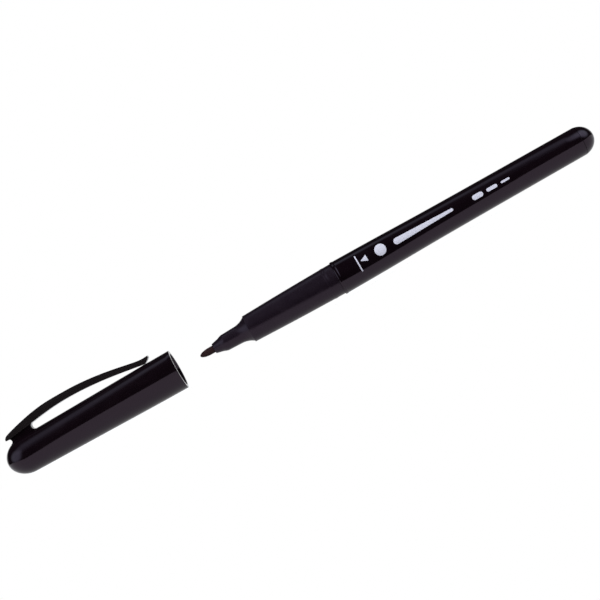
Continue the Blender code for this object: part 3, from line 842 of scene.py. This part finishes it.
def inked_fibre():
    """Pressed nib fibre soaked with ink: brown-black strands along the nib."""
    finish = Finish("inked nib fibre")
    strands = finish.speckle(waves=(500, 9000, 9000), detail=4, roughness=STRAND_ROUGHNESS)
    finish.colour(strands, ((0.0070, 0.0026, 0.0030), (0.0180, 0.0062, 0.0066),
                            (0.0340, 0.0135, 0.0135)))
    finish.roughness(strands, low=0.62, high=0.88)
    finish.relief(strands, strength=0.45, depth=0.00004)
    finish.gloss(level=0.16)
    return finish.material


def seal_black_plastic():
    """Unpolished moulding of the seal cup."""
    finish = Finish("seal plastic")
    clouds = finish.speckle(waves=(500, 500, 500), detail=4)
    finish.colour(clouds, ((0.012, 0.011, 0.012), (0.020, 0.018, 0.020)))
    grain = finish.speckle(waves=(4200, 4200, 4200), detail=2)
    finish.roughness(grain, low=0.40, high=0.55)
    finish.relief(grain, strength=0.10)
    return finish.material


def white_print():
    """Pad-printed white ink, a little uneven in cover."""
    finish = Finish("white print")
    cover = finish.speckle(waves=(2600, 2600, 2600), detail=4)
    finish.colour(cover, ((0.53, 0.505, 0.58), (0.58, 0.555, 0.63), (0.61, 0.585, 0.66)))
    finish.roughness(cover, low=0.42, high=0.60)
    finish.relief(cover, strength=0.06)
    return finish.material


def ink_store_fibre():
    """Bundled fibre of the ink store."""
    finish = Finish("ink store fibre")
    strands = finish.speckle(waves=(120, 4200, 4200), detail=4, roughness=STRAND_ROUGHNESS)
    finish.colour(strands, ((0.008, 0.007, 0.009), (0.030, 0.027, 0.033)))
    finish.roughness(strands, low=0.78, high=0.95)
    finish.relief(strands, strength=0.5, depth=0.00005)
    return finish.material


def store_film():
    """Milky film round the ink store."""
    finish = Finish("ink store film")
    clouds = finish.speckle(waves=(180, 700, 700), detail=4)
    finish.colour(clouds, ((0.60, 0.60, 0.58), (0.72, 0.72, 0.70)))
    finish.roughness(clouds, low=0.22, high=0.36)
    finish.relief(clouds, strength=0.05)
    return finish.material


def dress(piece, material):
    """Give the piece this material and no other."""
    piece.data.materials.clear()
    piece.data.materials.append(material)


# Table, light and camera

def node_maths(nodes, links):
    """A short way to add Math nodes; sockets are linked and numbers are set."""
    def step(kind, first, second=None):
        node = nodes.new("ShaderNodeMath")
        node.operation = kind
        for socket, value in ((0, first), (1, second)):
            if isinstance(value, (int, float)):
                node.inputs[socket].default_value = value
            elif value is not None:
                links.new(value, node.inputs[socket])
        return node.outputs["Value"]
    return step


def table_white():
    """Matt white that the camera and the polish see bright, and that still takes the shadow."""
    finish = Finish("white table")
    step = node_maths(finish.nodes, finish.links)
    finish.shader.inputs["Base Color"].default_value = (TABLE_WHITE, TABLE_WHITE, TABLE_WHITE, 1)
    finish.shader.inputs["Roughness"].default_value = TABLE_ROUGHNESS
    finish.shader.inputs["Emission Color"].default_value = (1, 1, 1, 1)
    finish.gloss(level=0.0)
    path = finish.nodes.new("ShaderNodeLightPath")
    seen = step("MAXIMUM", path.outputs["Is Camera Ray"], path.outputs["Is Glossy Ray"])
    seen = step("MAXIMUM", seen, path.outputs["Is Transmission Ray"])
    glow = step("MULTIPLY", seen, TABLE_GLOW)
    finish.links.new(glow, finish.shader.inputs["Emission Strength"])
    return finish.material


def make_table():
    """A flat table top under the marker, which lies close to its curved front edge."""
    edge = through(TABLE_EDGE, TABLE_EDGE_STEPS)
    table = start_piece("white_table", edge[0][0], -TABLE_DROP)
    bpy.ops.transform.translate(value=(0, -edge[0][1], 0))
    for before, after in zip(edge, edge[1:]):
        step = (after[0] - before[0], before[1] - after[1], 0)
        bpy.ops.mesh.extrude_vertices_move(TRANSFORM_OT_translate={"value": step})
    bpy.ops.mesh.select_all(action="SELECT")
    bpy.ops.mesh.extrude_region_move(TRANSFORM_OT_translate={"value": (0, TABLE_BACK, 0)})
    bpy.ops.transform.resize(value=(1, 0, 1), center_override=(0, TABLE_BACK, 0))
    clear_bench()
    dress(table, table_white())


def make_studio():
    """A dim cool band of light arched over the marker and a white sweep behind it."""
    world = bpy.data.worlds.new("studio")
    bpy.context.scene.world = world
    world.use_nodes = True
    nodes = world.node_tree.nodes
    links = world.node_tree.links
    step = node_maths(nodes, links)

    def ease(value, reach, ends=(0.0, 1.0), way="SMOOTHSTEP"):
        node = nodes.new("ShaderNodeMapRange")
        node.interpolation_type = way
        node.inputs["From Min"].default_value, node.inputs["From Max"].default_value = reach
        node.inputs["To Min"].default_value, node.inputs["To Max"].default_value = ends
        links.new(value, node.inputs["Value"])
        return node.outputs["Result"]

    ray = nodes.new("ShaderNodeTexCoord")
    split = nodes.new("ShaderNodeSeparateXYZ")
    links.new(ray.outputs["Generated"], split.inputs["Vector"])
    along = step("ABSOLUTE", split.outputs["X"])
    away = split.outputs["Y"]
    up = split.outputs["Z"]

    tilt = step("ARCTAN2", up, step("MULTIPLY", away, -1.0))
    sag = step("MULTIPLY", step("MULTIPLY", along, along), BAND_SAG)
    middle = step("MAXIMUM", step("SUBTRACT", BAND_TILT, sag), BAND_LOWEST)
    half = ease(along, BAND_HALF_REACH, BAND_HALF, "LINEAR")
    off_band = step("DIVIDE", step("SUBTRACT", tilt, middle), half)
    shape = ease(step("ABSOLUTE", off_band), BAND_EDGE, (1.0, 0.0))
    band = step("MULTIPLY", shape, ease(along, BAND_LIGHT_REACH, BAND_LIGHT))
    for aim, light in (LEFT_BOX, RIGHT_BOX):
        facing = nodes.new("ShaderNodeVectorMath")
        facing.operation = "DOT_PRODUCT"
        links.new(ray.outputs["Generated"], facing.inputs[0])
        facing.inputs[1].default_value = aim
        band = step("ADD", band, ease(facing.outputs["Value"], BOX_EDGE, (0.0, light)))

    low = ease(up, SWEEP_TOP, (1.0, 0.0))
    behind = step("MULTIPLY", ease(away, SWEEP_SIDE), low)
    studio = step("ADD", step("MAXIMUM", band, behind), ROOM_LIGHT)
    path = nodes.new("ShaderNodeLightPath")
    mirrored = step("MAXIMUM", path.outputs["Is Glossy Ray"], path.outputs["Is Transmission Ray"])
    white = step("MAXIMUM", path.outputs["Is Camera Ray"], step("MULTIPLY", mirrored, behind))
    tint = nodes.new("ShaderNodeCombineColor")
    for channel, share in (("Red", -BAND_BLUE), ("Green", 0.0), ("Blue", BAND_BLUE)):
        shade = step("ADD", studio, step("MULTIPLY", band, share))
        mix = nodes.new("ShaderNodeMix")
        mix.data_type = "FLOAT"
        links.new(white, mix.inputs["Factor"])
        links.new(shade, mix.inputs["A"])
        mix.inputs["B"].default_value = 1.0
        links.new(mix.outputs["Result"], tint.inputs[channel])
    links.new(tint.outputs["Color"], nodes["Background"].inputs["Color"])
    nodes["Background"].inputs["Strength"].default_value = 1.0


def make_lamps():
    """Large soft lamps that light the colours but leave no patch in the polish."""
    for name, (place, size, power) in LAMPS.items():
        data = bpy.data.lights.new(name, "AREA")
        data.shape = "SQUARE"
        data.size = size
        data.energy = power
        lamp = bpy.data.objects.new(name, data)
        lamp.visible_glossy = False
        lamp.location = place
        lamp.rotation_euler = (Vector() - Vector(place)).to_track_quat("-Z", "Y").to_euler()
        bpy.context.scene.collection.objects.link(lamp)


def make_camera():
    """A camera near table level, turned so that the marker rises to the right."""
    data = bpy.data.cameras.new("camera")
    camera = bpy.data.objects.new("camera", data)
    bpy.context.scene.collection.objects.link(camera)
    right = Vector((1, 0, 0))
    toward = Vector((0, -math.cos(VIEW_RISE), math.sin(VIEW_RISE)))
    level_up = Vector((0, math.sin(VIEW_RISE), math.cos(VIEW_RISE)))
    across = math.cos(VIEW_ROLL) * right - math.sin(VIEW_ROLL) * level_up
    upright = math.sin(VIEW_ROLL) * right + math.cos(VIEW_ROLL) * level_up
    middle = Vector((VIEW_X, 0, AXIS_Z - VIEW_DROP)) + VIEW_ACROSS * across + VIEW_UP * upright
    turned = Matrix((across, upright, toward)).transposed().to_4x4()
    camera.matrix_world = Matrix.Translation(middle + VIEW_DISTANCE * toward) @ turned
    data.sensor_width = FILM_WIDTH
    data.lens = FILM_WIDTH * VIEW_DISTANCE / VIEW_WIDTH
    data.clip_start, data.clip_end = VIEW_LIMITS
    bpy.context.scene.camera = camera


# Put the marker together

gloss = gloss_black_plastic()
satin = satin_black_plastic()
felt = inked_fibre()
seal_finish = seal_black_plastic()
ink_white = white_print()

barrel = make_barrel()
plug = make_plug()
section = make_section()
nib = make_nib()
cap = make_cap()
seal = make_seal()
clip = make_clip()
prints = make_prints(barrel)
clear_bench()

for piece, body, node, slot, finish in (
        (barrel, "pen", "barrel", "gloss_black", gloss),
        (plug, "pen", "rear_plug", "gloss_black", gloss),
        (section, "pen", "front_section", "satin_black", satin),
        (nib, "pen", "nib", "nib_fibre", felt),
        (cap, "cap", "cap_shell", "gloss_black", gloss),
        (seal, "cap", "cap_inner_seal", "seal_plastic", seal_finish)):
    dress(piece, finish)
    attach(piece, body)
    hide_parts(node)

# The clip keeps its place in the shared frame, on no body, and stands in for the imported clip
dress(clip, clip_black_plastic())
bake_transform(clip)
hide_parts("pocket_clip")

for mark in prints:
    dress(mark, ink_white)
    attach(mark, "pen")

dress(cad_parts["ink_reservoir"], ink_store_fibre())
dress(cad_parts["reservoir_wrap"], store_film())

make_table()
make_studio()
make_lamps()
make_camera()
bpy.context.scene.view_settings.view_transform = "Standard"
